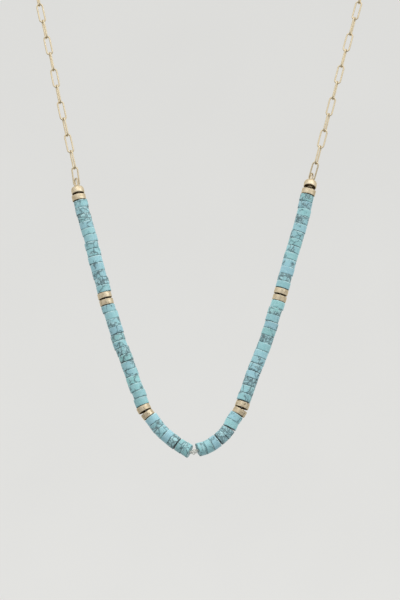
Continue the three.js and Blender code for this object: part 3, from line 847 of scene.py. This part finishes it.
def thread(ends):
    """Three plies twisted together, from inside one end bead to inside the other."""
    steps = 0.22
    left = [("left", s) for s in np.arange(ends["left"], 0.01, -steps)]
    right = [("right", s) for s in np.arange(0.0, ends["right"], steps)]
    centre, fronts = [], []
    for side, s in left + right:
        p, _, f = SIDES[side].at(s)
        centre.append(p)
        fronts.append(f)
    centre, fronts = np.array(centre), np.array(fronts)
    # ease the thread round the bottom of the V
    for _ in range(3):
        centre[1:-1] = (centre[:-2] + 2 * centre[1:-1] + centre[2:]) / 4
    along = np.gradient(centre, axis=0)
    along /= np.linalg.norm(along, axis=1)[:, None]
    front = fronts - (fronts * along).sum(1)[:, None] * along
    front /= np.linalg.norm(front, axis=1)[:, None]
    across = np.cross(along, front)
    run = np.concatenate([[0], np.cumsum(np.linalg.norm(np.diff(centre, axis=0), axis=1))])
    # the plies part a little where the thread is bare
    bare = run[len(left)] + 0.15
    fan = 0.50 * np.exp(-(((run - bare) / 0.80) ** 2))
    build = Builder()
    t = np.arange(8) * 2 * math.pi / 8
    for ply in range(3):
        phase = 2 * math.pi * (run / PLY_TURN + ply / 3)
        mid = centre + (PLY_OFF + fan)[:, None] * (np.cos(phase)[:, None] * across + np.sin(phase)[:, None] * front)
        go = np.gradient(mid, axis=0)
        go /= np.linalg.norm(go, axis=1)[:, None]
        u = front - (front * go).sum(1)[:, None] * go
        u /= np.linalg.norm(u, axis=1)[:, None]
        v = np.cross(go, u)
        rings = mid[:, None, :] + PLY_D / 2 * (np.cos(t)[None, :, None] * u[:, None, :] + np.sin(t)[None, :, None] * v[:, None, :])
        cap0, cap1 = np.repeat(mid[:1, None, :], 8, 1), np.repeat(mid[-1:, None, :], 8, 1)
        build.loft(np.concatenate([cap0, rings, cap1]), poles=True)
        # painted shade, brown like the gold round it, where the thread runs inside the end beads
        dark = np.clip((2.6 - np.minimum(run, run[-1] - run)) / 0.3, 0, 1)
        build.value("shade_in_beads", np.concatenate([dark[:1], np.repeat(dark, 8), dark[-1:]]))
    return build.make("beading_thread", THREAD, "thread")


# ------------------------------------------------------------------ assembly

ends = {}
for side in ("left", "right"):
    rng = np.random.default_rng(5 if side == "left" else 17)
    s, spacer = FIRST_BEAD[side], 0
    for run, count, pitch, spacers in RUNS:
        stone_run(side, run, s, count, pitch[side])
        s += (count - 1) * pitch[side] + STONE_T + GAP
        for k in range(spacers):
            spacer += 1
            nod = 0.0 if spacers == 1 else (1.3 if k == 0 else -1.3)
            gold_disc(side, spacer, s + GOLD_T / 2, rng, nod)
            s += GOLD_T + GAP
    end_bead(side, s)
    ends[side] = s + BEAD_BORE_DEPTH - 0.2
    chain(side, s)
clasp()
thread(ends)

# ------------------------------------------------------------------ stage, light, camera


def stage_material():
    m, nt, bsdf = shader("pale_paper")
    n = Nodes(nt)
    coord = n.object_mm()
    n.put(bsdf.inputs["Base Color"], n.mix(n.noise(coord, 0.012, 2.0, 0.5), (0.20, 0.20, 0.197), (0.23, 0.23, 0.226)))
    bsdf.inputs["Roughness"].default_value = 0.9
    bsdf.inputs["Specular IOR Level"].default_value = 0.1
    bsdf.inputs["Emission Color"].default_value = (1.0, 0.998, 0.972, 1)
    bsdf.inputs["Emission Strength"].default_value = 0.575
    return m


def studio():
    """A pale floor that sweeps up into a wall and ceiling all round, for the eye only."""
    floor, bend, far, top = -0.66, 0.7, 2.1, 2.0
    profile = [(0.0, floor), (0.5, floor), (far - bend, floor)]
    profile += arc(far - bend, floor + bend, bend, -90, 0, 18)
    profile += [(far, top - 0.8)] + arc(far - 0.8, top - 0.8, 0.8, 0, 90, 18) + [(0.0, top)]
    sides = 96
    verts, faces = [], []
    for r, z in profile:
        for k in range(sides):
            a = 2 * math.pi * k / sides
            verts.append((r * math.cos(a), r * math.sin(a) - 0.05, z))
    for j in range(len(profile) - 1):
        for k in range(sides):
            a, b = j * sides + k, j * sides + (k + 1) % sides
            faces.append((a, b, b + sides, a + sides))
    mesh = bpy.data.meshes.new("studio_floor")
    mesh.from_pydata(verts, [], faces)
    bm = bmesh.new()
    bm.from_mesh(mesh)
    bmesh.ops.remove_doubles(bm, verts=bm.verts, dist=1e-6)
    bmesh.ops.dissolve_degenerate(bm, edges=bm.edges, dist=1e-7)
    bmesh.ops.recalc_face_normals(bm, faces=bm.faces)
    bmesh.ops.reverse_faces(bm, faces=bm.faces)
    bm.to_mesh(mesh)
    bm.free()
    mesh.polygons.foreach_set("use_smooth", [True] * len(mesh.polygons))
    obj = bpy.data.objects.new("studio_floor", mesh)
    bpy.context.scene.collection.objects.link(obj)
    mesh.materials.append(stage_material())
    obj.visible_diffuse = obj.visible_glossy = obj.visible_transmission = obj.visible_shadow = False


def soft_light(name, where, aim, size, watts, colour=(1, 1, 1)):
    data = bpy.data.lights.new(name, "AREA")
    data.shape, data.size, data.size_y = "RECTANGLE", size[0], size[1]
    data.energy, data.color = watts, colour
    obj = bpy.data.objects.new(name, data)
    bpy.context.scene.collection.objects.link(obj)
    obj.location = where
    obj.rotation_mode = "QUATERNION"
    obj.rotation_quaternion = (Vector(aim) - Vector(where)).to_track_quat("-Z", "Y")
    obj.visible_camera = False


def world():
    """White room: bright above and behind, darker below, with a dark figure behind the camera."""
    w = bpy.data.worlds.new("studio_air")
    bpy.context.scene.world = w
    w.use_nodes = True
    nt = w.node_tree
    nt.nodes.clear()
    n = Nodes(nt)
    out = nt.nodes.new("ShaderNodeOutputWorld")
    back = nt.nodes.new("ShaderNodeBackground")
    coord = nt.nodes.new("ShaderNodeTexCoord")
    way = n.vec("NORMALIZE", coord.outputs["Generated"])
    xyz = n.split(way)
    height = n.ramp(xyz[2], -0.9, 0.9, 0.28, 1.05, smooth=False)
    figure = n.vec("LENGTH", n.vec("MULTIPLY", n.vec("SUBTRACT", way, (0.10, -0.99, -0.12)), (1.0, 1.0, 0.42)))
    dim = n.ramp(figure, 0.14, 0.34, 0.45, 1.0)
    # pale cloth close behind the necklace
    height = n.math("MAXIMUM", height, n.ramp(xyz[1], -0.05, 0.55, 0.0, 0.95))
    n.put(back.inputs["Strength"], n.math("MULTIPLY", n.math("MULTIPLY", height, dim), AIR))
    back.inputs["Color"].default_value = (1.0, 1.0, 0.995, 1)
    nt.links.new(back.outputs[0], out.inputs[0])


AIR = 1.0
world()
studio()
soft_light("top_softbox", (0.16, -0.52, 0.74), (0.0, -0.08, -0.10), (1.6, 1.1), 4.8)
soft_light("right_window", (0.90, -0.55, 0.20), (0.0, -0.08, -0.10), (0.7, 0.9), 1.5)
soft_light("left_window", (-0.90, -0.55, 0.20), (0.0, -0.08, -0.10), (0.7, 0.9), 0.5)

VIEW_FROM = 1000.0  # in front of the bottom of the V
camera = bpy.data.cameras.new("view")
camera.lens = 18 / (85.714 / VIEW_FROM)
camera.sensor_width = 36
camera.clip_start, camera.clip_end = 0.01, 20
eye = bpy.data.objects.new("view", camera)
bpy.context.scene.collection.objects.link(eye)
eye.location = ((np.array([0.0, -VIEW_FROM, 45.43]) - ORIGIN) * MM).tolist()
eye.rotation_euler = (math.radians(90), 0, 0)
scene = bpy.context.scene
scene.camera = eye
scene.view_settings.view_transform = "Standard"
scene.cycles.use_denoising = True
